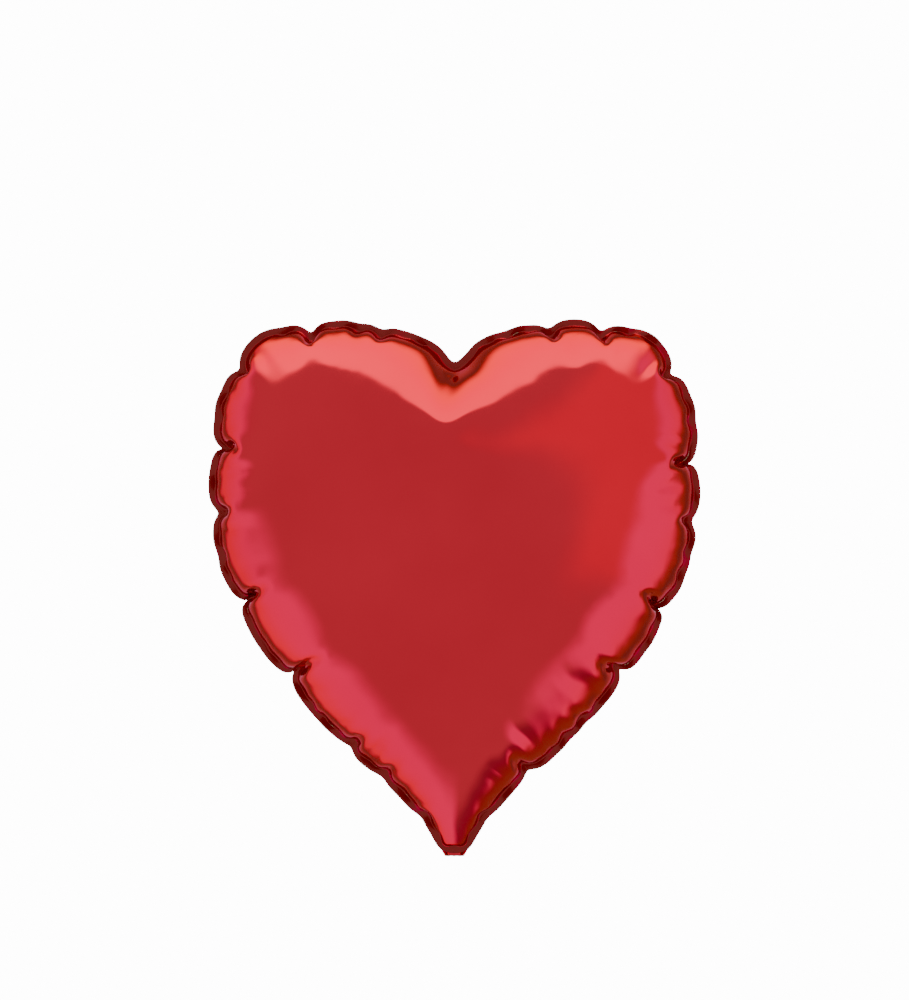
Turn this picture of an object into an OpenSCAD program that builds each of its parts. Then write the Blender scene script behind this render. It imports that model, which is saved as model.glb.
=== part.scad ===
// Heart-shaped foil balloon, inflated, with its folded neck and inner self-sealing valve.
// Frame: +X to the right, +Y to the back, +Z up. The origin is the tie point at the heart's tip.
// The films are drawn far thicker than the real foil so that they are closed solids.

/* [Envelope] */

// Width of the inflated heart across its lobes
body_w = 360; // [80:1:900]

// Height of the inflated heart from its tip to the tops of its lobes
body_h = 390; // [90:1:1000]

// Depth of the inflated heart from front to back
body_d = 214; // [40:1:560]

// Width of the flat heat-sealed rim around both panels
seam_w = 6; // [3:0.5:15]

// How far each pucker draws the rim in
pucker_depth = 2.4; // [0:0.1:6]

// Height above the tip at which the panels bulge the most
belly_h = 212; // [50:1:600]

// Radius to which the heart's contours round off at the belly
belly_r = 135; // [30:1:400]

// Roundness of the panels between the rim and the belly
fullness = 3.1; // [1.2:0.05:5]

// Steepness of the panels at the rim, smaller is steeper
edge_power = 0.73; // [0.4:0.01:1]

// Steepness of the panels at the shoulders of the lobes
lobe_power = 0.58; // [0.4:0.01:1]

// Steepness of the panels at the tip
tip_power = 0.94; // [0.4:0.01:1.2]

/* [Film] */

// Thickness drawn for the nylon and aluminium outer film
film_t = 0.3; // [0.1:0.05:1]

// Thickness drawn for the polyethylene inner layer
sealant_t = 0.3; // [0.1:0.05:1]

// Gap left between neighbouring layers
layer_gap = 0.05; // [0.02:0.01:0.3]

/* [Neck] */

// Length of the neck beyond its crease
neck_len = 60; // [20:1:150]

// Width of the neck
neck_w = 25; // [10:0.5:60]

// Width of the neck where it gathers at the crease
crease_w = 14; // [6:0.5:40]

// Length over which the gathered neck widens
gather_len = 26; // [5:1:60]

// Angle between the folded neck and the upright
fold_lean = 56; // [40:1:180]

// Diameter of the filling hole in the neck
fill_hole_d = 8; // [3:0.5:20]

// Distance of the filling hole from the crease
fill_hole_at = 44; // [10:1:120]

/* [Valve] */

// Height of the valve's inner end above the tip
valve_top = 112; // [30:1:300]

// Width of the valve inside the heart
valve_w = 32; // [10:1:80]

// Width of the valve where it passes the tip
valve_root_w = 12; // [5:0.5:35]

// Thickness drawn for each valve ply
ply_t = 0.2; // [0.1:0.05:0.6]

// Gap between the two valve plies
ply_gap = 0.6; // [0.2:0.05:2]

// Width of the printed release coat that keeps the plies apart
release_w = 12; // [4:0.5:30]

// Length of the printed release coat
release_len = 55; // [10:1:120]

/* [Hidden] */

FRONT = -1;
BACK = 1;

// Half outline from the cleft to the tip, as parts of half the width and of the height
half_outline = [
    [0, 0.921], [0.13, 0.962], [0.33, 0.989], [0.545, 1.0], [0.755, 0.982], [0.875, 0.94],
    [0.96, 0.865], [1.0, 0.715], [0.963, 0.56], [0.85, 0.42], [0.68, 0.305], [0.478, 0.193],
    [0.215, 0.078], [0.083, 0.028], [0.039, 0], [0, 0]
];
spans = len(half_outline) - 1;
span_steps = 4;
half_cols = spans * span_steps;
cols = 2 * half_cols;
rings = 9;

// Catmull-Rom point of the half outline at step k
function knot(n) = half_outline[min(max(n, 0), spans)];
function before(n) = n < 0 ? 2 * knot(0) - knot(1) : knot(n);
function curve(a, b, c, d, t) =
    0.5 * (2 * b + (c - a) * t + (2 * a - 5 * b + 4 * c - d) * t * t
        + (3 * b - a - 3 * c + d) * t * t * t);
function half_point(k) =
    let (n = min(floor(k / span_steps), spans - 1), t = k / span_steps - n)
    n >= spans - 2
        ? knot(n) + (knot(n + 1) - knot(n)) * t
        : curve(before(n - 1), knot(n), knot(n + 1), knot(n + 2), t);

// Rim point of column i, going round from the cleft by the right side
function rim(i) =
    let (k = i <= half_cols ? i : cols - i, p = half_point(k))
    [(i <= half_cols ? 1 : -1) * p[0] * body_w / 2, p[1] * body_h];
belly = [0, belly_h];
function away(i) = (rim(i) - belly) / norm(rim(i) - belly);

// The mouth at the tip lets the valve pass between the panels
mouth_h = 1.2;
mouth_top = 12;
function mouth(i) = mouth_h * max(0, 1 - rim(i)[1] / mouth_top);

// Puckers draw the rim in at every span, away from the tip and the cleft
function is_pucker(i) = i % span_steps == 0 && rim(i)[1] > 20 && abs(rim(i)[0]) > 10;
function pucker(i) = is_pucker(i) ? pucker_depth : 0;

// Share of the way from the weld to the belly at ring j, which runs from 1 to rings + 1
function inward(j) = pow(max(j - 1, 0) / rings, 2.2);
// Steepness by direction: the lobes' shoulders point about 42 degrees from straight up
lobe_angle = 42;
function tipness(i) = pow(max(0, -away(i)[1]), 2.6);
function lobeness(i) = exp(-pow((acos(away(i)[1]) - lobe_angle) / lobe_angle, 2));
function steepness(i) =
    edge_power + (tip_power - edge_power) * tipness(i) + (lobe_power - edge_power) * lobeness(i);

function reach(i, j) =
    let (r = norm(rim(i) - belly), v = inward(j), gather = pucker(i) * pow(1 - v, 8))
    j == 0
        ? r - gather
        : (1 - v) * (belly_r + (r - seam_w - belly_r) * pow(1 - v, 1.1)) - gather;
function rise(i, j) =
    let (v = inward(j))
    (body_d / 2 - layer_top) * pow(1 - pow(1 - v, fullness), steepness(i))
        + mouth(i) * pow(1 - v, 20);

// Outward direction in the plane of one column, as radial and depth parts
function lean(i, j) =
    j == 0 ? [0, 1]
    : j == 1 ? [1, 1]
    : let (a = [reach(i, j - 1), rise(i, j - 1)], b = [reach(i, j + 1), rise(i, j + 1)])
        [b[1] - a[1], a[0] - b[0]] / norm(b - a);

function skin_point(i, j, off, side) =
    let (n = lean(i, j), r = reach(i, j) + off * n[0], p = belly + away(i) * r)
    [p[0], side * (rise(i, j) + off * n[1]), p[1]];

// Offsets of the layers from the seam plane
sealant_in = layer_gap;
sealant_out = sealant_in + sealant_t;
film_in = sealant_out + layer_gap;
layer_top = film_in + film_t;

ring_count = rings + 1;
skin_size = ring_count * cols + 1;

function skin(off, side) = concat(
    [for (j = [0 : ring_count - 1]) for (i = [0 : cols - 1]) skin_point(i, j, off, side)],
    [[0, side * (body_d / 2 - layer_top + off), belly_h]]
);

function turned(f, flip) = flip ? [f[2], f[1], f[0]] : f;
function at(i, j, base) = base + j * cols + i % cols;
function skin_faces(base, flip) = concat(
    [for (j = [0 : ring_count - 2]) for (i = [0 : cols - 1]) for (half = [0, 1])
        turned(half == 0
            ? [at(i, j, base), at(i + 1, j, base), at(i + 1, j + 1, base)]
            : [at(i, j, base), at(i + 1, j + 1, base), at(i, j + 1, base)], flip)],
    [for (i = [0 : cols - 1])
        turned([at(i, ring_count - 1, base), at(i + 1, ring_count - 1, base),
            base + skin_size - 1], flip)]
);
function edge_faces(flip) =
    [for (i = [0 : cols - 1]) for (half = [0, 1])
        turned(half == 0
            ? [at(i, 0, 0), at(i, 0, skin_size), at(i + 1, 0, skin_size)]
            : [at(i, 0, 0), at(i + 1, 0, skin_size), at(i + 1, 0, 0)], flip)];

// One dished layer of a panel between two offsets
module layer(inner, outer, side) {
    flip = side == BACK;
    polyhedron(
        points = concat(skin(outer, side), skin(inner, side)),
        faces = concat(skin_faces(0, flip), skin_faces(skin_size, !flip), edge_faces(flip)),
        convexity = 6
    );
}

// The neck hangs from a crease line just below the tip
crease_z = -2.5;
neck_start = 3.6;
neck_film_at = 0.55;
neck_ply_at = 0.15;
neck_ply_w = 20;
neck_ply_len = 54;
corner_r = 3;

// Places the neck, drawn hanging down, at its folded rest angle
module folded() {
    translate([0, 0, crease_z])
        rotate([180 - fold_lean, 0, 0])
            children();
}

module neck_shape(root, full, length) {
    hull() {
        translate([-root / 2, -neck_start - 0.5])
            square([root, 0.5]);
        translate([-full / 2, -gather_len - 0.5])
            square([full, 0.5]);
    }
    hull() {
        translate([-full / 2, -gather_len - 0.5])
            square([full, 0.5]);
        for (s = [-1, 1])
            translate([s * (full / 2 - corner_r), corner_r - length])
                circle(r = corner_r, $fn = 24);
    }
}

// A neck ply whose near face lies at a given depth
module neck_ply(near, thick, root, full, length) {
    folded()
        translate([0, near + thick, 0])
            rotate([90, 0, 0])
                linear_extrude(height = thick)
                    neck_shape(root, full, length);
}

module fill_hole() {
    folded()
        translate([0, 0, -fill_hole_at])
            rotate([90, 0, 0])
                cylinder(h = 3, d = fill_hole_d, $fn = 48);
}

// The valve stands up inside the heart from just above the tip
valve_root_z = 3.6;
valve_narrow_z = 26;
valve_wide_z = 54;

module valve_shape() {
    polygon([
        [-valve_root_w / 2, valve_root_z], [valve_root_w / 2, valve_root_z],
        [valve_root_w / 2, valve_narrow_z], [valve_w / 2, valve_wide_z],
        [valve_w / 2, valve_top], [-valve_w / 2, valve_top],
        [-valve_w / 2, valve_wide_z], [-valve_root_w / 2, valve_narrow_z]
    ]);
}

// A valve ply from one depth to the next
module valve_ply(low) {
    translate([0, low + ply_t, 0])
        rotate([90, 0, 0])
            linear_extrude(height = ply_t)
                valve_shape();
}

module front_film() {
    color("Crimson") layer(film_in, layer_top, FRONT);
}

module front_sealant() {
    color("Silver") layer(sealant_in, sealant_out, FRONT);
}

module back_film() {
    color("FireBrick") layer(film_in, layer_top, BACK);
}

module back_sealant() {
    color("Gainsboro") layer(sealant_in, sealant_out, BACK);
}

module neck_front_film() {
    color("Crimson")
        difference() {
            neck_ply(-neck_film_at - film_t, film_t, crease_w, neck_w, neck_len);
            fill_hole();
        }
}

module neck_back_film() {
    color("FireBrick")
        neck_ply(neck_film_at, film_t, crease_w, neck_w, neck_len);
}

module neck_valve_front_ply() {
    color("WhiteSmoke")
        difference() {
            neck_ply(-neck_ply_at - ply_t, ply_t, valve_root_w, neck_ply_w, neck_ply_len);
            fill_hole();
        }
}

module neck_valve_back_ply() {
    color("WhiteSmoke")
        neck_ply(neck_ply_at, ply_t, valve_root_w, neck_ply_w, neck_ply_len);
}

module valve_front_ply() {
    color("WhiteSmoke") valve_ply(-ply_gap / 2 - ply_t);
}

module valve_back_ply() {
    color("WhiteSmoke") valve_ply(ply_gap / 2);
}

release_t = 0.1;
release_root_z = 14;
release_root_w = 8;

module valve_release_coat() {
    color("LightSkyBlue")
        translate([0, ply_gap / 2 - 0.02, 0])
            rotate([90, 0, 0])
                linear_extrude(height = release_t)
                    polygon([
                        [-release_root_w / 2, release_root_z],
                        [release_root_w / 2, release_root_z],
                        [release_w / 2, release_root_z + release_len],
                        [-release_w / 2, release_root_z + release_len]
                    ]);
}

front_film();
front_sealant();
back_film();
back_sealant();
neck_front_film();
neck_back_film();
neck_valve_front_ply();
neck_valve_back_ply();
valve_front_ply();
valve_back_ply();
valve_release_coat();
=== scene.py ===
"""Heart-shaped foil balloon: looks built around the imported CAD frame."""

import math

import bpy
import numpy as np
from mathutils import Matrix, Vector
from mathutils.geometry import delaunay_2d_cdt


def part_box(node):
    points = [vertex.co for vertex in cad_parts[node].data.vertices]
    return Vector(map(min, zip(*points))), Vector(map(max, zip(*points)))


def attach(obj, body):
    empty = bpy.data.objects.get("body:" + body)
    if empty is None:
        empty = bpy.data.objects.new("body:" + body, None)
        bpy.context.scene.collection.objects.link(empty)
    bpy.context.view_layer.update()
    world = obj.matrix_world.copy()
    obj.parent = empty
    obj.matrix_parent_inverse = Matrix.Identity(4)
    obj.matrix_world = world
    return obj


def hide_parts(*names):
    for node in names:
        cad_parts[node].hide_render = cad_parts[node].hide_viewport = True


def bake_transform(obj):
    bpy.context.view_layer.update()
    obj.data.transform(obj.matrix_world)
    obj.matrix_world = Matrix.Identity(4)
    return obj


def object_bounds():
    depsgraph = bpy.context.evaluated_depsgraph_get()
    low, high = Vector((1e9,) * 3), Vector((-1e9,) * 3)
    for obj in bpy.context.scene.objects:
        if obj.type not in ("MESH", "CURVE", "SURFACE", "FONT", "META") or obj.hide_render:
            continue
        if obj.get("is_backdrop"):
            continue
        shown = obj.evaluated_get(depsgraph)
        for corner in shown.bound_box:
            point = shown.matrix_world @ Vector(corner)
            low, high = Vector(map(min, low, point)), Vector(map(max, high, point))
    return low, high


MM = 0.001
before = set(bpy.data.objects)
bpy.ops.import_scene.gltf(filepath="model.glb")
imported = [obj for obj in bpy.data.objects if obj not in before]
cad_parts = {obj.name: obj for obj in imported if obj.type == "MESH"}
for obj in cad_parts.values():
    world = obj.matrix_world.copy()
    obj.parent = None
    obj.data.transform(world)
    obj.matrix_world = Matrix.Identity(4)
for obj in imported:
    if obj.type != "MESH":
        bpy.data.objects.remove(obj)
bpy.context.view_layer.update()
film_low, film_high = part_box("front_film")

# ---------------------------------------------------------------- camera

HEART_SHARE = 0.534  # the heart's height as a share of the picture's
DROP_SHARE = 0.086  # how far the heart's middle lies below the picture's, as a share of its height
LENS = 135
SENSOR = 36

view_h = (film_high.z - film_low.z) / HEART_SHARE
distance = view_h * LENS / SENSOR
camera_data = bpy.data.cameras.new("camera")
camera_data.lens = LENS
camera_data.sensor_width = SENSOR
camera = bpy.data.objects.new("camera", camera_data)
bpy.context.scene.collection.objects.link(camera)
camera.location = (0, -distance, (film_low.z + film_high.z) / 2 + DROP_SHARE * view_h)
camera.rotation_euler = (math.pi / 2, 0, 0)
bpy.context.scene.camera = camera

# ---------------------------------------------------------------- outlines, in mm

SEAM = 6.0  # width of the welded rim
# The inflated heart's rim: half of it, from the cleft to the tip, as in the CAD
RIM_W, RIM_H = 360.0, 390.0
RIM_HALF = [
    (0, 0.921), (0.13, 0.962), (0.33, 0.989), (0.545, 1.0), (0.755, 0.982), (0.875, 0.94),
    (0.96, 0.865), (1.0, 0.715), (0.963, 0.56), (0.85, 0.42), (0.68, 0.305), (0.478, 0.193),
    (0.215, 0.078), (0.083, 0.028), (0.039, 0),
]
# The flat cut's weld line, which draws in to that rim when the heart is filled
CUT_HALF = [
    (0, 443), (28, 452), (70, 455), (118, 449), (170, 427), (204, 380), (220, 323),
    (221, 264), (208, 206), (181, 153), (145, 106), (101, 64), (52, 29), (8, 0),
]


def step(x, low, high):
    """A smooth step from 0 at low to 1 at high."""
    t = np.clip((x - low) / (high - low), 0, 1)
    return t * t * (3 - 2 * t)


def spline(points, per):
    """Catmull-Rom line through the points, with its last point repeated as given."""
    p = np.array(points, float)
    p = np.vstack([2 * p[0] - p[1], p, 2 * p[-1] - p[-2]])
    t = (np.arange(per) / per)[:, None]
    out = []
    for a, b, c, d in zip(p[:-3], p[1:-2], p[2:-1], p[3:]):
        out.append(0.5 * (2 * b + (c - a) * t + (2 * a - 5 * b + 4 * c - d) * t**2
                          + (3 * b - a - 3 * c + d) * t**3))
    return np.vstack(out + [p[-2:-1]])


def half_line(points, per=10):
    """A half outline that is smooth down to its last but one point and straight from there."""
    return np.vstack([spline(points[:-1], per), points[-1:]])


def whole(half):
    """The closed outline from a half outline that starts on the axis."""
    return np.vstack([half, (half * [-1, 1])[::-1][:-1]])


def outward(loop):
    """Outward directions along a closed outline that goes round clockwise."""
    t = np.roll(loop, -1, 0) - np.roll(loop, 1, 0)
    t /= np.linalg.norm(t, axis=1)[:, None] + 1e-12
    return np.stack([-t[:, 1], t[:, 0]], 1)


def inside(points, loop):
    """Which points lie inside a closed outline."""
    x, y = points[:, :1], points[:, 1:]
    x1, y1 = loop[:, 0][None], loop[:, 1][None]
    x2, y2 = np.roll(loop[:, 0], -1)[None], np.roll(loop[:, 1], -1)[None]
    rise = np.where(y2 == y1, 1e-12, y2 - y1)
    hits = ((y1 > y) != (y2 > y)) & (x < (x2 - x1) * (y - y1) / rise + x1)
    return hits.sum(1) % 2 == 1


def nearest(points, line):
    """The nearest point of an open line to each point."""
    a, d = line[:-1], np.diff(line, axis=0)
    t = ((points[:, None] - a[None]) * d[None]).sum(2) / ((d * d).sum(1)[None] + 1e-12)
    q = a[None] + np.clip(t, 0, 1)[:, :, None] * d[None]
    k = np.linalg.norm(points[:, None] - q, axis=2).argmin(1)
    return q[np.arange(len(points)), k]


def away_from(points, loop):
    """Each point's distance from a closed outline."""
    closed = np.vstack([loop, loop[:1]])
    return np.linalg.norm(points - nearest(points, closed), axis=1)


# ---------------------------------------------------------------- triangle meshes


def half_edges(tris):
    """Every triangle's three edges, so that an inner edge comes twice."""
    return np.sort(np.concatenate([tris[:, [0, 1]], tris[:, [1, 2]], tris[:, [2, 0]]]), axis=1)


def edges_of(tris):
    return np.unique(half_edges(tris), axis=0)


def facing(tris):
    """For each inner edge, the edge and the two corners opposite it; and the open edges."""
    e = half_edges(tris)
    opposite = np.concatenate([tris[:, 2], tris[:, 0], tris[:, 1]])
    order = np.lexsort((e[:, 1], e[:, 0]))
    e, opposite = e[order], opposite[order]
    same = (e[1:] == e[:-1]).all(1)
    i = np.nonzero(same)[0]
    paired = np.zeros(len(e), bool)
    paired[i] = paired[i + 1] = True
    return e[i], np.stack([opposite[i], opposite[i + 1]], 1), e[~paired]


def groups(edges, n):
    """Splits edges into groups in which no corner appears twice."""
    used = [0] * n
    group = np.zeros(len(edges), int)
    for i, (a, b) in enumerate(edges.tolist()):
        taken, c = used[a] | used[b], 0
        while taken >> c & 1:
            c += 1
        used[a] |= 1 << c
        used[b] |= 1 << c
        group[i] = c
    return [np.nonzero(group == c)[0] for c in range(group.max() + 1)]


def split(tris, n):
    """Each triangle in four: the new triangles, and the edges whose middles are the new points."""
    e = edges_of(tris)
    key = e[:, 0] * n + e[:, 1]
    a, b, c = tris.T
    ab, bc, ca = (n + np.searchsorted(key, np.minimum(p, q) * n + np.maximum(p, q))
                  for p, q in ((a, b), (b, c), (c, a)))
    new = [np.stack(t, 1) for t in ((a, ab, ca), (ab, b, bc), (ca, bc, c), (ab, bc, ca))]
    return np.concatenate(new), e


def normals(points, tris):
    """Unit normals at the points, weighted by area."""
    a, b, c = (points[tris[:, k]] for k in range(3))
    n = np.cross(b - a, c - a)
    out = np.stack([sum(np.bincount(tris[:, k], n[:, d], len(points)) for k in range(3))
                    for d in range(3)], 1)
    return out / (np.linalg.norm(out, axis=1)[:, None] + 1e-12)


def area_of(flat, tris):
    """The flat area of a cut, in square metres from mm."""
    a, b, c = (flat[tris[:, k]] for k in range(3))
    cross = (b[:, 0] - a[:, 0]) * (c[:, 1] - a[:, 1]) - (b[:, 1] - a[:, 1]) * (c[:, 0] - a[:, 0])
    return np.abs(cross).sum() / 2 * MM * MM


def triangulate(loop, spacing, rng, holes=()):
    """Points and triangles filling a closed outline, less its holes. The outline comes first."""
    low, high = loop.min(0), loop.max(0)
    rows = []
    wide = int((high[0] - low[0]) / spacing) + 2
    mid = (low[0] + high[0]) / 2
    for j, y in enumerate(np.arange(low[1], high[1], spacing * math.sqrt(0.75))):
        x = mid + (np.arange(-wide, wide) + 0.5 * (j % 2)) * spacing
        rows.append(np.stack([x, np.full(len(x), y)], 1))
    fill = np.concatenate(rows)
    fill += rng.uniform(-0.12, 0.12, fill.shape) * spacing
    fill = fill[inside(fill, loop)]
    fill = fill[away_from(fill, loop) > 0.6 * spacing]
    for hole in holes:
        fill = fill[~inside(fill, hole)]
        fill = fill[away_from(fill, hole) > 0.4 * spacing]
    points = np.vstack([loop, *holes, fill])
    links, start = [], 0
    for ring in (loop, *holes):
        n = len(ring)
        links += [(start + k, start + (k + 1) % n) for k in range(n)]
        start += n
    out = delaunay_2d_cdt([Vector(p) for p in points], links, [], 0, 1e-6)
    flat = np.array([tuple(v) for v in out[0]])
    source = [o[0] for o in out[3]]
    back = np.empty(len(points), int)
    back[source] = np.arange(len(flat))
    flat = flat[back]
    place = np.argsort(back)
    tris = place[np.array([f for f in out[2] if len(f) == 3])]
    middle = flat[tris].mean(1)
    keep = inside(middle, loop)
    for hole in holes:
        keep &= ~inside(middle, hole)
    tris = tris[keep]
    a, b, c = (flat[tris[:, k]] for k in range(3))
    area = (b[:, 0] - a[:, 0]) * (c[:, 1] - a[:, 1]) - (b[:, 1] - a[:, 1]) * (c[:, 0] - a[:, 0])
    tris[area < 0] = tris[area < 0][:, ::-1]
    return flat, tris[np.abs(area) > 2e-3 * spacing**2]


# ---------------------------------------------------------------- the flat cut and its filling


class Cut:
    """One panel's flat cut inside the weld, as triangles that can be made finer."""

    def __init__(self, outline, spacing, rng):
        self.outline = np.vstack([outline, outline[:1]])
        lengths = np.linalg.norm(np.diff(self.outline, axis=0), axis=1)
        self.along = np.concatenate([[0], np.cumsum(lengths)])
        self.length = self.along[-1]
        n = 2 * round(self.length / spacing / 2)
        self.rim = np.arange(n)
        self.where = np.arange(n) / n * self.length
        self.flat, self.tris = triangulate(self.at(self.where), spacing, rng)

    def at(self, s):
        """The points at distances s along the outline."""
        s = np.mod(s, self.length)
        return np.stack([np.interp(s, self.along, self.outline[:, k]) for k in range(2)], 1)

    def finer(self, filled):
        """Splits the triangles; returns the filled shape's points with the new ones added."""
        n = len(self.flat)
        self.tris, e = split(self.tris, n)
        flat = np.concatenate([self.flat, self.flat[e].mean(1)])
        # The outline's new points, halfway along it between its old ones
        place = {(min(a, b), max(a, b)): n + k for k, (a, b) in enumerate(e.tolist())}
        rim, where = [], []
        for k, a in enumerate(self.rim.tolist()):
            b = int(self.rim[(k + 1) % len(self.rim)])
            s = self.where[k]
            last = k == len(self.rim) - 1
            ahead = self.length + self.where[0] if last else self.where[k + 1]
            middle = place[(min(a, b), max(a, b))]
            rim += [a, middle]
            where += [s, (s + ahead) / 2]
            flat[middle] = self.at(np.array([(s + ahead) / 2]))[0]
        self.rim, self.where, self.flat = np.array(rim), np.array(where), flat
        return np.concatenate([filled, filled[e].mean(1)])

    def from_ends(self):
        """Each rim point's distance along the outline from the cleft or the tip."""
        to_tip = np.abs(self.where - self.length / 2)
        return np.minimum.reduce([self.where, self.length - self.where, to_tip])


PUCKER = 60  # mm of rim over which the puckers are smoothed away to find its general line


def smooth_ring(line, times):
    """A closed line, smoothed."""
    for _ in range(times):
        line = (np.roll(line, 1, 0) + 2 * line + np.roll(line, -1, 0)) / 4
    return line


def guide_rim(cut, points, target, rate):
    """Eases the rim's general line towards the target, and leaves its puckers alone."""
    line = points[cut.rim][:, [0, 2]]
    times = max(2, int((PUCKER / (cut.length / len(line))) ** 2 / 2))
    share = np.clip(cut.from_ends() / (PUCKER / 2), 0, 1)[:, None]
    general = smooth_ring(line, times) * share + line * (1 - share)
    points[cut.rim[:, None], [0, 2]] += rate * (nearest(general, target) - general)


def fill(cut, points, target, steps, rounds, push, give, bend=0.05, rate=0.05):
    """Presses the panel out while its edges keep their cut lengths. The rim stays in its plane.

    Film can't stretch, so a long edge is pulled short; give is how much a short edge resists."""
    edges = edges_of(cut.tris)
    _, across, _ = facing(cut.tris)
    links = []
    for pairs, is_edge, k in ((edges, True, give), (across, False, bend)):
        length = np.linalg.norm(cut.flat[pairs[:, 0]] - cut.flat[pairs[:, 1]], axis=1)
        links += [(pairs[g, 0], pairs[g, 1], length[g], is_edge, k) for g in groups(pairs, len(points))]
    last = points.copy()
    for _ in range(steps):
        a, b, c = (points[cut.tris[:, k]] for k in range(3))
        n = np.cross(b - a, c - a)
        force = np.stack([sum(np.bincount(cut.tris[:, k], n[:, d], len(points)) for k in range(3))
                          for d in range(3)], 1)
        mean = np.linalg.norm(force, axis=1).mean() + 1e-12
        moved = points + (points - last) * 0.9 + force * (push / mean)
        last, points = points, moved
        guide_rim(cut, points, target, rate)
        for _ in range(rounds):
            for i, j, length, is_edge, k in links:
                p, q = points[i], points[j]
                d = q - p
                now = np.sqrt(np.einsum("ij,ij->i", d, d)) + 1e-9
                share = 0.5 - 0.5 * length / now
                long = share > 0
                share = np.where(long, share * (1.3 if is_edge else 0), share * k)
                d *= share[:, None]
                points[i] = p + d
                points[j] = q - d
            points[cut.rim, 1] = 0
            points[:, 1] = np.minimum(points[:, 1], 0)
    return points


# ---------------------------------------------------------------- rim, refining, shells


def ripple(s, length, rng, shortest, longest, waves=9):
    """A smooth closed random line along the rim, from about -1 to 1."""
    counts = np.unique(rng.integers(int(length / longest), int(length / shortest), waves))
    out = sum(np.cos(2 * math.pi * (k * s / length + rng.random())) for k in counts)
    return out / math.sqrt(len(counts) / 2) / 1.8


SWAY = 0.9  # mm by which the weld leaves its plane
RUFFLE = 26  # degrees by which the rim leans out of it
SWAY_REACH = 14  # mm from the weld in which the film follows its sway


def add_rim(cut, points, rng):
    """Adds the welded rim outside the weld, ruffled, and lets the weld sway a little.

    Returns points, triangles, each point's sway, and its distance in from the weld, which is
    negative on the rim."""
    n = len(points)
    ring = len(cut.rim)
    calm = np.clip((cut.from_ends() - 8) / 40, 0, 1)
    sway = SWAY * calm * ripple(cut.where, cut.length, rng, 30, 90)
    turn = np.radians(RUFFLE) * calm * ripple(cut.where, cut.length, rng, 16, 40)
    depth = away_from(cut.flat, cut.at(np.linspace(0, cut.length, 700)[:-1]))
    to_rim = np.array([np.argmin(((cut.flat[cut.rim] - p) ** 2).sum(1)) for p in cut.flat])
    line = points[cut.rim][:, [0, 2]]
    out = outward(smooth_ring(line, 5))
    rows = [points]
    for d in (SEAM / 2, SEAM):
        shift = out * (d * np.cos(turn))[:, None]
        row = smooth_ring(line + shift, 1 if d < SEAM else 2)
        rows.append(np.stack([row[:, 0], sway + d * np.sin(turn), row[:, 1]], 1))
    tris = [cut.tris]
    k = np.arange(ring)
    k1 = (k + 1) % ring
    inner = cut.rim
    for r in range(2):
        outer = n + r * ring + k
        tris.append(np.stack([inner[k], inner[k1], outer[k1]], 1))
        tris.append(np.stack([inner[k], outer[k1], outer[k]], 1))
        inner = outer
    sways = np.concatenate([sway[to_rim] * np.exp(-depth / SWAY_REACH), np.zeros(2 * ring)])
    reach = np.concatenate([depth, np.full(ring, -SEAM / 2), np.full(ring, -SEAM)])
    return np.vstack(rows), np.concatenate(tris), sways, reach


def refine(points, tris, values, crease):
    """One round of Loop subdivision that keeps the open edge and the crease ring sharp."""
    n = len(points)
    inner, opposite, open_edges = facing(tris)
    new_tris, e = split(tris, n)
    key = e[:, 0] * n + e[:, 1]
    ring = np.sort(np.stack([crease, np.roll(crease, -1)], 1), axis=1)
    sharp = np.concatenate([open_edges, ring])
    is_sharp = np.isin(key, sharp[:, 0] * n + sharp[:, 1])
    middle = points[e].mean(1)
    at = np.searchsorted(key, inner[:, 0] * n + inner[:, 1])
    soft = middle.copy()
    soft[at] = 0.75 * middle[at] + 0.25 * points[opposite].mean(1)
    middle = np.where(is_sharp[:, None], middle, soft)
    # Old points
    total = np.zeros_like(points)
    count = np.zeros(n)
    for a, b in (e.T, e.T[::-1]):
        for d in range(3):
            total[:, d] += np.bincount(a, points[b, d], n)
        count += np.bincount(a, minlength=n)
    share = np.where(count == 3, 3 / 16, 3 / (8 * np.maximum(count, 1)))[:, None]
    moved = points * (1 - share * count[:, None]) + share * total
    line_total = np.zeros_like(points)
    for a, b in (sharp.T, sharp.T[::-1]):
        for d in range(3):
            line_total[:, d] += np.bincount(a, points[b, d], n)
    on_line = np.isin(np.arange(n), sharp)
    moved[on_line] = 0.75 * points[on_line] + 0.125 * line_total[on_line]
    return np.vstack([moved, middle]), new_tris, np.vstack([values, values[e].mean(1)])


def open_loops(tris):
    """The open edges, each directed as its triangle goes round."""
    directed = np.concatenate([tris[:, [0, 1]], tris[:, [1, 2]], tris[:, [2, 0]]])
    undirected = np.sort(directed, axis=1)
    _, first, counts = np.unique(undirected, axis=0, return_index=True, return_counts=True)
    return directed[first[counts == 1]]


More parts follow.
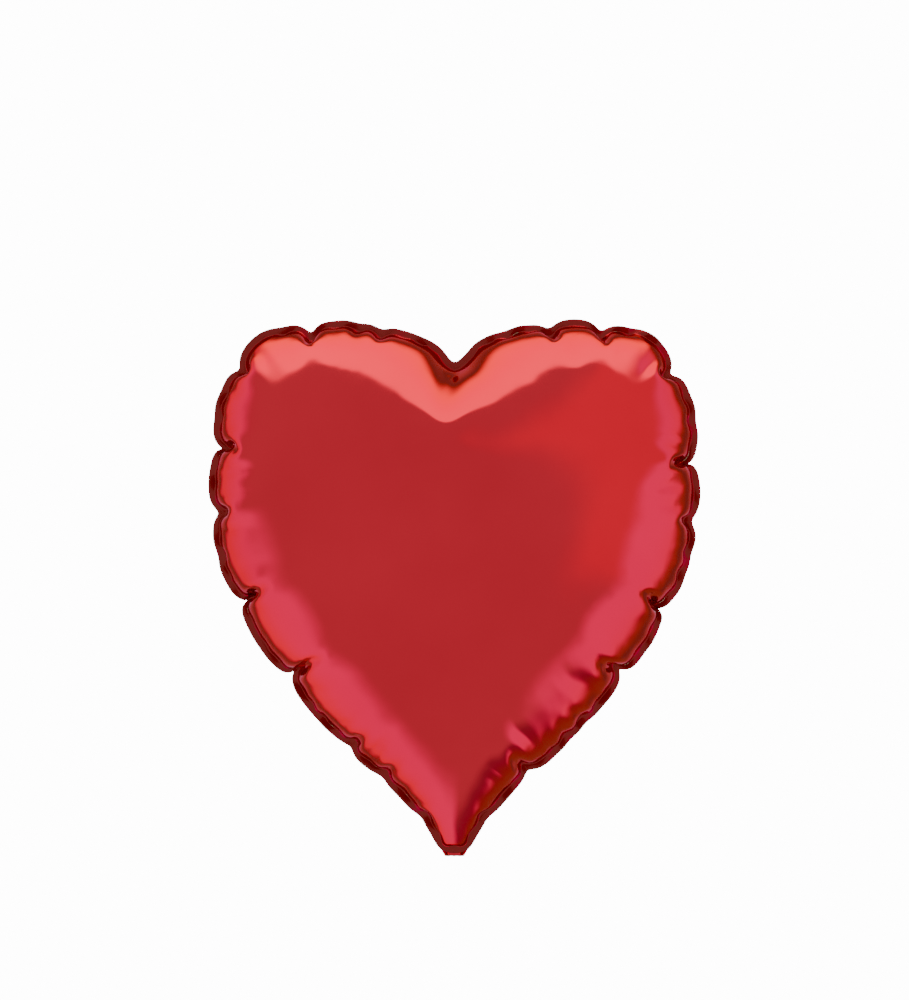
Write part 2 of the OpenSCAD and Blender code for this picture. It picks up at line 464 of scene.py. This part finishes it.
def shell(name, points, tris, low, high, mats, weld=None):
    """A closed thin shell from a surface, between two offsets along its normals. Points in mm.

    The last of mats is on its inner side. weld gives each point's distance from the weld."""
    n = len(points)
    up = normals(points, tris)
    verts = np.vstack([points + up * high, points + up * low]) * MM
    a, b = open_loops(tris).T
    sides = np.concatenate([np.stack([b, a, a + n], 1), np.stack([b, a + n, b + n], 1)])
    faces = np.concatenate([tris, tris[:, ::-1] + n, sides])
    mesh = bpy.data.meshes.new(name)
    mesh.vertices.add(len(verts))
    mesh.vertices.foreach_set("co", verts.astype(np.float32).ravel())
    mesh.loops.add(3 * len(faces))
    mesh.loops.foreach_set("vertex_index", faces.astype(np.int32).ravel())
    mesh.polygons.add(len(faces))
    mesh.polygons.foreach_set("loop_start", np.arange(0, 3 * len(faces), 3, dtype=np.int32))
    mesh.polygons.foreach_set("use_smooth", np.ones(len(faces), bool))
    which = np.zeros(len(faces), np.int32)
    which[len(tris):2 * len(tris)] = len(mats) - 1
    for m in mats:
        mesh.materials.append(m)
    mesh.polygons.foreach_set("material_index", which)
    if weld is not None:
        attribute = mesh.attributes.new("weld_mm", "FLOAT", "POINT")
        attribute.data.foreach_set("value", np.concatenate([weld, weld]).astype(np.float32))
    mesh.update()
    mesh.validate()
    obj = bpy.data.objects.new(name, mesh)
    bpy.context.scene.collection.objects.link(obj)
    return obj


# ---------------------------------------------------------------- materials


def new_material(name, **settings):
    """A material, its nodes and links, and its shader with those sockets set."""
    m = bpy.data.materials.new(name)
    m.use_nodes = True
    shader = m.node_tree.nodes["Principled BSDF"]
    for socket, value in settings.items():
        shader.inputs[socket.replace("_", " ")].default_value = value
    return m, m.node_tree.nodes, m.node_tree.links, shader


def noise(nodes, links, where, scale, detail=3.0, distortion=0.0):
    n = nodes.new("ShaderNodeTexNoise")
    n.inputs["Scale"].default_value = scale
    n.inputs["Detail"].default_value = detail
    n.inputs["Distortion"].default_value = distortion
    links.new(where, n.inputs["Vector"])
    return n.outputs["Fac"]


def remap(nodes, links, value, low, high, out_low, out_high):
    n = nodes.new("ShaderNodeMapRange")
    for k, v in zip(("From Min", "From Max", "To Min", "To Max"), (low, high, out_low, out_high)):
        n.inputs[k].default_value = v
    links.new(value, n.inputs["Value"])
    return n.outputs["Result"]


def math_node(nodes, links, kind, a, b):
    n = nodes.new("ShaderNodeMath")
    n.operation = kind
    for k, v in enumerate((a, b)):
        if isinstance(v, (int, float)):
            n.inputs[k].default_value = v
        else:
            links.new(v, n.inputs[k])
    return n.outputs[0]


def mix_colour(nodes, links, share, a, b):
    n = nodes.new("ShaderNodeMix")
    n.data_type = "RGBA"
    links.new(share, n.inputs["Factor"])
    for socket, v in (("A", a), ("B", b)):
        target = [s for s in n.inputs if s.name == socket and s.type == "RGBA"][0]
        if isinstance(v, tuple):
            target.default_value = (*v, 1)
        else:
            links.new(v, target)
    return [s for s in n.outputs if s.type == "RGBA"][0]


def bump(nodes, links, height, distance, strength, under=None):
    n = nodes.new("ShaderNodeBump")
    n.inputs["Strength"].default_value = strength
    n.inputs["Distance"].default_value = distance
    links.new(height, n.inputs["Height"])
    if under is not None:
        links.new(under, n.inputs["Normal"])
    return n.outputs["Normal"]


CRIMP_RIBS = 3600  # radians of rib to the metre, on both slants
CRINKLE_REACH = 45  # mm in from the weld in which the film is crinkled


def make_foil(name, deep, bright, crimp_colour):
    """Glossy metallised film, with a crimped matt rim and fine crinkles that start at the weld."""
    m, nodes, links, shader = new_material(
        name, Metallic=1.0, Specular_Tint=(0.9, 0.12, 0.25, 1), Coat_Weight=0.15, Coat_Roughness=0.05)
    place = nodes.new("ShaderNodeTexCoord").outputs["Object"]
    weld = nodes.new("ShaderNodeAttribute")
    weld.attribute_name = "weld_mm"
    weld = weld.outputs["Fac"]
    on_rim = remap(nodes, links, weld, 0.6, -0.6, 0, 1)
    near = remap(nodes, links, weld, CRINKLE_REACH, 0, 0, 1)
    cloud = noise(nodes, links, place, 9, 4)
    film = mix_colour(nodes, links, remap(nodes, links, cloud, 0.35, 0.65, 0, 1), deep, bright)
    links.new(mix_colour(nodes, links, on_rim, film, crimp_colour), shader.inputs["Base Color"])
    rubbed = remap(nodes, links, noise(nodes, links, place, 60, 5), 0.3, 0.7, 0.05, 0.12)
    rough = math_node(nodes, links, "ADD", rubbed, math_node(nodes, links, "MULTIPLY", on_rim, 0.2))
    links.new(rough, shader.inputs["Roughness"])
    wave = noise(nodes, links, place, 14, 2)
    normal = bump(nodes, links, wave, 0.004, 0.12)
    crinkle = math_node(nodes, links, "MULTIPLY", noise(nodes, links, place, 70, 2, 0.3), near)
    normal = bump(nodes, links, crinkle, 0.001, 0.2, normal)
    # Crossed ribs pressed into the rim by the sealing bar
    split_place = nodes.new("ShaderNodeSeparateXYZ")
    links.new(place, split_place.inputs[0])
    x, _, z = split_place.outputs
    ribs = []
    for kind in ("ADD", "SUBTRACT"):
        slant = math_node(nodes, links, kind, x, z)
        phase = math_node(nodes, links, "MULTIPLY", slant, CRIMP_RIBS)
        ribs.append(math_node(nodes, links, "SINE", phase, 0))
    crimp = math_node(nodes, links, "MULTIPLY", math_node(nodes, links, "MAXIMUM", *ribs), on_rim)
    normal = bump(nodes, links, crimp, 0.0001, 0.35, normal)
    links.new(normal, shader.inputs["Normal"])
    return m


def make_plain(name, dark, light, scale, rough_low, rough_high, relief, **settings):
    """A mottled plain film or ink."""
    m, nodes, links, shader = new_material(name, **settings)
    place = nodes.new("ShaderNodeTexCoord").outputs["Object"]
    cloud = remap(nodes, links, noise(nodes, links, place, scale, 5), 0.35, 0.65, 0, 1)
    links.new(mix_colour(nodes, links, cloud, dark, light), shader.inputs["Base Color"])
    fine = noise(nodes, links, place, scale * 6, 4)
    links.new(remap(nodes, links, fine, 0.3, 0.7, rough_low, rough_high), shader.inputs["Roughness"])
    links.new(bump(nodes, links, fine, relief, 0.3), shader.inputs["Normal"])
    return m


foil = make_foil("red_foil", (0.68, 0.011, 0.047), (0.73, 0.013, 0.053), (0.27, 0.013, 0.026))
silver = make_plain(
    "silver_inner_layer", (0.62, 0.62, 0.64), (0.74, 0.74, 0.75), 40, 0.25, 0.4, 0.0004, Metallic=0.9)
milky = make_plain(
    "milky_valve_film", (0.78, 0.79, 0.78), (0.88, 0.88, 0.86), 60, 0.3, 0.5, 0.0003, Subsurface_Weight=0.1)
ink = make_plain("blue_release_coat", (0.50, 0.64, 0.78), (0.66, 0.77, 0.87), 220, 0.6, 0.8, 0.0002)

# ---------------------------------------------------------------- the two panels

SPACING, QUICK_SPACING = 20, 24  # mm between the cut's points before it is made finer
# Each round of filling: steps, rounds of pulling in a step, push, and how much a short edge resists
FILLS = [(140, 16, 1.2, 0.0), (60, 20, 0.5, 0.2), (50, 24, 0.2, 0.4)]
DROOP = 22  # how far the flat cut starts below the rim's place
WELD_TIP = [4.5, 3]  # where the weld meets the neck, from the axis and up from the tip

rng = np.random.default_rng(7)
target = half_line([(x * RIM_W / 2, z * RIM_H) for x, z in RIM_HALF])
weld_target = target - outward(whole(target))[:len(target)] * SEAM
weld_target = np.vstack([[0, target[0, 1] - SEAM], weld_target[1:-1], WELD_TIP])
weld_target = weld_target[weld_target[:, 0] >= 0]
weld_line = np.vstack([weld_target, (weld_target * [-1, 1])[::-1]])

cut = Cut(whole(half_line(CUT_HALF)), SPACING, rng)

lift = away_from(cut.flat, cut.flat[cut.rim])
film = np.stack([cut.flat[:, 0], -0.3 * lift, cut.flat[:, 1] - DROOP], 1)
# Every other rim point starts drawn in, which sets how far apart the puckers form
centre = cut.flat[cut.rim].mean(0)
inward = centre - cut.flat[cut.rim[1::2]]
inward /= np.linalg.norm(inward, axis=1)[:, None]
film[cut.rim[1::2][:, None], [0, 2]] += inward * rng.uniform(2, 6, len(inward))[:, None]

for k, (steps, rounds, push, give) in enumerate(FILLS):
    if k:
        film = cut.finer(film)
    film = fill(cut, film, weld_line, steps, rounds, push, give)
film, film_tris, sway, reach = add_rim(cut, film, rng)
values = np.stack([sway, reach], 1)
film, film_tris, values = refine(film, film_tris, values, cut.rim)
sway, reach = values.T

# The crease that runs down from the cleft is eased
EASE_TIMES, EASE_W, EASE_H = 40, 28, 55
across, down = (film[:, [0, 2]] - film[cut.rim[0], [0, 2]]).T
ease = 0.6 * np.exp(-(across / EASE_W) ** 2 - (down / EASE_H) ** 2) * np.clip((reach - 1) / 10, 0, 1)
film_edges = edges_of(film_tris)
for _ in range(EASE_TIMES):
    total = np.zeros_like(film)
    count = np.zeros(len(film))
    for a, b in (film_edges.T, film_edges.T[::-1]):
        for d in range(3):
            total[:, d] += np.bincount(a, film[b, d], len(film))
        count += np.bincount(a, minlength=len(film))
    film += (total / count[:, None] - film) * ease[:, None]

# Brought to the CAD envelope's size
low, high = film.min(0), film.max(0)
scale = np.array([
    (film_high.x - film_low.x) / MM / (high[0] - low[0]),
    -film_low.y / MM / -low[1],
    (film_high.z - film_low.z) / MM / (high[2] - low[2]),
])
film = (film - [(low[0] + high[0]) / 2, 0, low[2]]) * scale
print("filled heart before scaling, mm:", np.round(high - low, 1), "scale", np.round(scale, 3))

FILM_IN, FILM_OUT = 0.08, 0.25  # the film's two sides, off its surface
LIP_GAP, LIP_W, LIP_H = 0.9, 9, 14
rim_part = reach < 0.01
# The tip's edges part round the neck
lips = 1 - np.clip(np.abs(film[:, 0]) / LIP_W, 0, 1) ** 2
lips *= LIP_GAP * np.clip(1 - film[:, 2] / LIP_H, 0, 1)
front = film.copy()
front[:, 1] += np.where(rim_part, 0, sway) - lips
back = film.copy()
back[:, 1] = np.where(rim_part, film[:, 1], sway - film[:, 1]) + lips
front_panel = shell("front_panel", front, film_tris, FILM_IN, FILM_OUT, (foil, silver), reach)
back_panel = shell("back_panel", back, film_tris[:, ::-1], FILM_IN, FILM_OUT, (foil, silver), reach)
for panel, name in ((front_panel, "front"), (back_panel, "back")):
    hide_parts(f"{name}_film", f"{name}_sealant")
    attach(panel, "envelope")

# ---------------------------------------------------------------- the neck, folded behind the tip

CREASE_Z = -2.5  # height of the neck's hinge line, in mm
TURN = math.radians(124)  # from hanging down to its rest angle
BEND_R = 0.5
NECK_LEN, NECK_W = 60.0, 25.0
ROOT_W, MOUTH_W = 14.0, 7.0  # its width at the crease and inside the tip
GATHER = 26.0  # how far along it reaches its full width
INSIDE = 8.5  # how far up inside the tip the neck starts
SIDE_SEAM = 3.0
CORNER = 4.0
HOLE_R, HOLE_AT = 4.0, 44.0
PLEAT = 0.7
bend_end = 1.559 * BEND_R / math.sin(TURN)
bend_start = bend_end - BEND_R * TURN
bend_top = CREASE_Z + 1.88 * BEND_R
neck_root = bend_start - (INSIDE - bend_top)


def neck_half_width(s, full):
    """Half the width at distance s from the crease, for a ply of that full width."""
    wider = np.clip((s - bend_end) / (GATHER - bend_end), 0, 1)
    width = ROOT_W + (NECK_W - ROOT_W) * (1 - (1 - wider) ** 2)
    width = np.where(s > bend_end, width, np.interp(s, [bend_start - 1, bend_end], [MOUTH_W, ROOT_W]))
    return width / 2 * full / NECK_W


def neck_place(u, s, off=0.0):
    """The point u across and s along the neck, off its middle surface, at rest."""
    s, off = np.asarray(s, float), np.asarray(off, float)
    angle = np.clip((s - bend_start) / BEND_R, 0, TURN)
    y = np.where(s < bend_start, 0, BEND_R - BEND_R * np.cos(angle))
    z = np.where(s < bend_start, bend_top + (bend_start - s), bend_top - BEND_R * np.sin(angle))
    past = np.maximum(s - bend_end, 0)
    y = y + past * math.sin(TURN)
    z = z - past * math.cos(TURN)
    # The front ply's side, which is outside the bend
    return np.stack([u, y - off * np.cos(angle), z - off * np.sin(angle)], 1)


FINE_LOW, FINE_HIGH = bend_start - 0.8, bend_end + 2
FINER = 5


def drawn_out(s):
    """Lengths along the neck with those near the crease drawn out, which makes triangles small there."""
    return s + (FINER - 1) * np.clip(s - FINE_LOW, 0, FINE_HIGH - FINE_LOW)


def drawn_in(s):
    """The inverse of drawn_out."""
    marks = np.array([neck_root, FINE_LOW, FINE_HIGH, NECK_LEN])
    return np.interp(s, drawn_out(marks), marks)


def neck_outline(full, length):
    """A ply's closed outline, drawn out: half the root, up one side, round the end and down again."""
    root, end = drawn_out(neck_root), drawn_out(length)
    edge = np.linspace(root, drawn_out(length - CORNER), 70)
    side = np.stack([neck_half_width(drawn_in(edge), full), edge], 1)
    turn = np.radians(np.linspace(0, 90, 6))[1:]
    corner = [full / 2, end] + CORNER * (np.stack([np.cos(turn), np.sin(turn)], 1) - 1)
    half = np.vstack([side, corner])
    inner = full / 2 - CORNER
    top = np.stack([np.linspace(inner, -inner, 9)[1:-1], np.full(7, end)], 1)
    bottom = np.stack([np.linspace(-MOUTH_W / 2, MOUTH_W / 2, 9)[1:-1], np.full(7, root)], 1)
    return np.vstack([half, top, (half * [-1, 1])[::-1], bottom])


def neck_hole():
    """The filling hole's outline, drawn out."""
    turn = np.radians(np.arange(0, 360, 12))
    return np.stack([HOLE_R * np.cos(turn), drawn_out(HOLE_AT) + HOLE_R * np.sin(turn)], 1)


def neck_ply(name, full, length, side, gap_low, gap_high, thick, rng, hole, mats):
    """One ply of the neck: flat where it's free, pleated where it gathers, welded along its sides."""
    flat, tris = triangulate(neck_outline(full, length), 1.1, rng, [neck_hole()] if hole else [])
    flat[:, 1] = drawn_in(flat[:, 1])
    u, s = flat.T
    width = neck_half_width(s, NECK_W)
    across = u / width
    pleats = PLEAT * np.clip((s - bend_start) / 4, 0, 1) * np.exp(-np.maximum(s - bend_end, 0) / 9)
    wave = pleats * (np.cos(3.2 * math.pi * across + 0.4) + 0.35 * np.sin(5.6 * math.pi * across))
    wave *= 1 - across**4
    curl = 0.9 * np.sin(s / 13 + 1.1) * np.clip(s / 30, 0, 1) + 0.35 * np.sin(s / 4.7 + 4 * across)
    middle = neck_place(u, s, wave + curl * np.clip(s / 12, 0, 1))
    weld = np.clip((1 - np.abs(u) / np.maximum(width - SIDE_SEAM, 1)) * 3, 0, 1)
    open_up = np.clip((s - 6) / 26, 0, 1) * np.clip((NECK_LEN - s) / 14, 0.35, 1)
    gap = gap_low + (gap_high - gap_low) * np.sqrt(weld) * open_up
    up = normals(middle, tris)
    far = np.argmax(s)
    to_front = neck_place([0.0], [NECK_LEN], [1.0])[0] - neck_place([0.0], [NECK_LEN])[0]
    if up[far] @ to_front < 0:
        up, tris = -up, tris[:, ::-1]
    points = middle + up * (side * gap)[:, None]
    if side < 0:
        tris = tris[:, ::-1]
    inside_seam = np.where(s > GATHER / 2, width - SIDE_SEAM - np.abs(u), SIDE_SEAM)
    return shell(name, points, tris, 0, thick, mats, inside_seam), area_of(flat, tris)


NECK_SEED = 11
FRONT, BACK = 1, -1  # the front ply lies outside the bend
FOIL_PLY = (NECK_W, NECK_LEN, 0.2, 0.85, 0.1, (foil, silver))
VALVE_PLY = (20, 54, 0.02, 0.4, 0.06, (milky,))
# Each ply: piece, CAD node, slot, size, side and whether it has the hole
for name, node, slot, ply_size, side, hole in (
    ("neck_front", "neck_front_film", "red_foil", FOIL_PLY, FRONT, True),
    ("neck_back", "neck_back_film", "red_foil_back", FOIL_PLY, BACK, False),
    ("neck_valve_front", "neck_valve_front_ply", "valve_film", VALVE_PLY, FRONT, True),
    ("neck_valve_back", "neck_valve_back_ply", "valve_film", VALVE_PLY, BACK, False),
):
    full, length, gap_low, gap_high, thick, mats = ply_size
    ply_rng = np.random.default_rng(NECK_SEED)
    ply, area = neck_ply(name, full, length, side, gap_low, gap_high, thick, ply_rng, hole, mats)
    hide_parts(node)
    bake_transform(ply)

# ---------------------------------------------------------------- the valve inside the heart

VALVE_ROOT, VALVE_NARROW, VALVE_WIDE, VALVE_TOP = 10.5, 14.0, 54.0, 112.0
VALVE_W, VALVE_ROOT_W = 32.0, 6.0
VALVE_THICK, VALVE_SEED = 0.08, 3
SEAM_Y, BULGE_Y = 0.25, 1.2  # how far each ply's inner side lies from the middle, at its sides and centre
COAT_LOW, COAT_HIGH = 14, 69
COAT_LIFT = 0.07  # how far the coat stands off the back ply
COAT_THICK = 0.03


def valve_half_width(z):
    return (VALVE_ROOT_W + (VALVE_W - VALVE_ROOT_W) * step(z, VALVE_NARROW, VALVE_WIDE)) / 2


def coat_half_width(z):
    return np.minimum(np.interp(z, [COAT_LOW, COAT_HIGH], [4, 6]), 0.7 * valve_half_width(z))


def valve_piece(name, half_width, low_z, high_z, near, far, thick, mat):
    """A thin ply hanging free inside the heart. It sways a little, and its welded sides lie flat."""
    z = np.linspace(low_z, high_z, 30)
    right = np.stack([half_width(z), z], 1)
    count = max(3, int(2 * right[-1, 0] / 3))
    top = np.stack([np.linspace(right[-1, 0], -right[-1, 0], count)[1:-1], np.full(count - 2, high_z)], 1)
    loop = np.vstack([right, top, (right * [-1, 1])[::-1]])
    flat, tris = triangulate(loop, 2.2, np.random.default_rng(VALVE_SEED))
    x, z = flat.T
    across = x / valve_half_width(z)
    rise = (z - VALVE_ROOT) / (VALVE_TOP - VALVE_ROOT)
    sway = rise * (1.1 * np.sin(z / 17) + 0.6 * np.sin(z / 7 + 3 * across))
    bulge = np.clip(1 - across**2, 0, 1) * np.clip(rise * 3, 0.1, 1)
    y = sway + near + (far - near) * bulge
    points = np.stack([x, y, z], 1)
    if normals(points, tris)[:, 1].mean() * near < 0:
        tris = tris[:, ::-1]
    return shell(name, points, tris, 0, thick, (mat,)), area_of(flat, tris)


valve_front, valve_area = valve_piece(
    "valve_front", valve_half_width, VALVE_ROOT, VALVE_TOP, -SEAM_Y, -BULGE_Y, VALVE_THICK, milky)
valve_back, _ = valve_piece(
    "valve_back", valve_half_width, VALVE_ROOT, VALVE_TOP, SEAM_Y, BULGE_Y, VALVE_THICK, milky)
release, _ = valve_piece(
    "release_coat", coat_half_width, COAT_LOW, COAT_HIGH, SEAM_Y - COAT_LIFT, BULGE_Y - COAT_LIFT,
    COAT_THICK, ink)
for piece, node, body, slot in (
    (valve_front, "valve_front_ply", "valve_front", "valve_film"),
    (valve_back, "valve_back_ply", "valve_back", "valve_film"),
    (release, "valve_release_coat", "valve_back", "release_ink"),
):
    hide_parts(node)
    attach(piece, body)

# ---------------------------------------------------------------- light, floor

MIDDLE = np.array([0, 0, (film_low.z + film_high.z) / 2])


def lamp(off_axis, clock, near, far, left, right, soft):
    """How much of a soft-edged lamp lies in a direction. Its edges blur over soft: near, far, sides."""
    middle, half = (left + right) / 2, (right - left) / 2
    around = np.abs((clock - middle + 180) % 360 - 180)
    share = step(off_axis, near - soft[0] / 2, near + soft[0] / 2)
    share = share * (1 - step(off_axis, far - soft[1] / 2, far + soft[1] / 2))
    return share * (1 - step(around, half - soft[2] / 2, half + soft[2] / 2))


# Directions in degrees: off-axis from straight ahead of the heart, clock clockwise from above.
# Each lamp: near and far off-axis, left and right clock, softness of its edges, level, tint
PLAIN, ROSY, COOL = (1, 1, 1), (1, 0.1, 1), (1, 1.5, 0.85)
ROOM = 0.69
LAMPS = {
    "dark_surround": (127, 181, -181, 181, (22, 2, 1), 0.26, (1, 2, 1.6)),
    "room_behind": (148, 181, -181, 181, (20, 2, 1), 0.7, PLAIN),
    "low_right_shade": (90, 150, 128, 186, (18, 14, 18), 0.38, COOL),
    "upper_right_glow": (40, 100, 18, 112, (16, 20, 20), 1, (1, 0.4, 0.5)),
    "left_strip": (78, 136, -182, -98, (24, 12, 20), 1.38, ROSY),
    "upper_left_strip": (102, 136, -108, -40, (16, 10, 20), 1.3, ROSY),
    "right_strip": (70, 118, 78, 139, (16, 14, 14), 1.38, ROSY),
    "upper_right_strip": (94, 124, 40, 86, (16, 14, 14), 1.3, ROSY),
    "top_softbox": (83, 132, -40, 38, (4, 14, 12), 2.6, (1, 0.7, 0.6)),
}


def studio_dome(radius):
    """Every lamp and the walls between them, on one big sphere that the camera doesn't see."""
    off_axis, clock = np.linspace(0, 180, 121), np.linspace(-180, 180, 241)
    a, c = np.meshgrid(off_axis, clock, indexing="ij")
    light = np.full(a.shape + (3,), ROOM) * COOL
    for near, far, left, right, soft, level, tint in LAMPS.values():
        light += (np.array(tint) * level - light) * lamp(a, c, near, far, left, right, soft)[..., None]
    light = np.concatenate([light, np.ones(a.shape + (1,))], 2)
    a, c = np.radians(a), np.radians(c)
    where = np.stack([np.sin(a) * np.sin(c), -np.cos(a), np.sin(a) * np.cos(c)], 2) * radius + MIDDLE
    k = np.arange(a.size).reshape(a.shape)
    faces = np.stack([k[:-1, :-1], k[1:, :-1], k[1:, 1:], k[:-1, 1:]], 2).reshape(-1, 4)
    mesh = bpy.data.meshes.new("studio_dome")
    mesh.from_pydata(where.reshape(-1, 3).tolist(), [], faces.tolist())
    attribute = mesh.attributes.new("light", "FLOAT_COLOR", "POINT")
    attribute.data.foreach_set("color", light.astype(np.float32).ravel())
    m = bpy.data.materials.new("studio_light")
    m.use_nodes = True
    nodes, links = m.node_tree.nodes, m.node_tree.links
    nodes.remove(nodes["Principled BSDF"])
    level = nodes.new("ShaderNodeAttribute")
    level.attribute_name = "light"
    glow = nodes.new("ShaderNodeEmission")
    links.new(level.outputs["Color"], glow.inputs["Color"])
    links.new(glow.outputs[0], nodes["Material Output"].inputs["Surface"])
    mesh.materials.append(m)
    dome = bpy.data.objects.new("studio_dome", mesh)
    bpy.context.scene.collection.objects.link(dome)
    dome.visible_camera = False
    return dome


DOME_R = 6
WHITE_LEVEL = 14  # of what the camera sees behind everything
world = bpy.data.worlds.new("studio")
bpy.context.scene.world = world
world.use_nodes = True
world.node_tree.nodes["Background"].inputs["Color"].default_value = (1, 1, 1, 1)
world.node_tree.nodes["Background"].inputs["Strength"].default_value = WHITE_LEVEL
studio_dome(DOME_R)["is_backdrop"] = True


FLOOR_R, FLOOR_Z = 1.3, -0.3
LIGHT_SIZE, LIGHT_POWER, LIGHT_Z = 1.4, 190, 2.4


def make_floor(radius, height):
    """A pale disc that fades into the white round it, under a light of its own."""
    k = np.radians(np.arange(0, 360, 5))
    mesh = bpy.data.meshes.new("floor")
    ring = [(radius * math.cos(a), radius * math.sin(a), height) for a in k]
    mesh.from_pydata(ring, [], [range(len(ring))])
    m, nodes, links, shader = new_material("floor", Base_Color=(0.86, 0.86, 0.86, 1), Roughness=0.7)
    place = nodes.new("ShaderNodeTexCoord").outputs["Object"]
    flat = nodes.new("ShaderNodeVectorMath")
    flat.operation = "MULTIPLY"
    flat.inputs[1].default_value = (1, 1, 0)
    links.new(place, flat.inputs[0])
    far = nodes.new("ShaderNodeVectorMath")
    far.operation = "LENGTH"
    links.new(flat.outputs[0], far.inputs[0])
    fade = remap(nodes, links, far.outputs["Value"], 0.2 * radius, radius, 1, 0)
    fade.node.interpolation_type = "SMOOTHERSTEP"
    links.new(fade, shader.inputs["Alpha"])
    mesh.materials.append(m)
    floor = bpy.data.objects.new("floor", mesh)
    bpy.context.scene.collection.objects.link(floor)
    floor.visible_glossy = False
    light = bpy.data.lights.new("floor_light", "AREA")
    light.shape = "DISK"
    light.size = LIGHT_SIZE
    light.energy = LIGHT_POWER
    lamp_object = bpy.data.objects.new("floor_light", light)
    bpy.context.scene.collection.objects.link(lamp_object)
    lamp_object.location = (0, 0, LIGHT_Z)
    lamp_object.visible_camera = lamp_object.visible_glossy = False
    return floor


make_floor(FLOOR_R, FLOOR_Z)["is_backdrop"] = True

# ---------------------------------------------------------------- size, end

bpy.context.view_layer.update()
low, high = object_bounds()
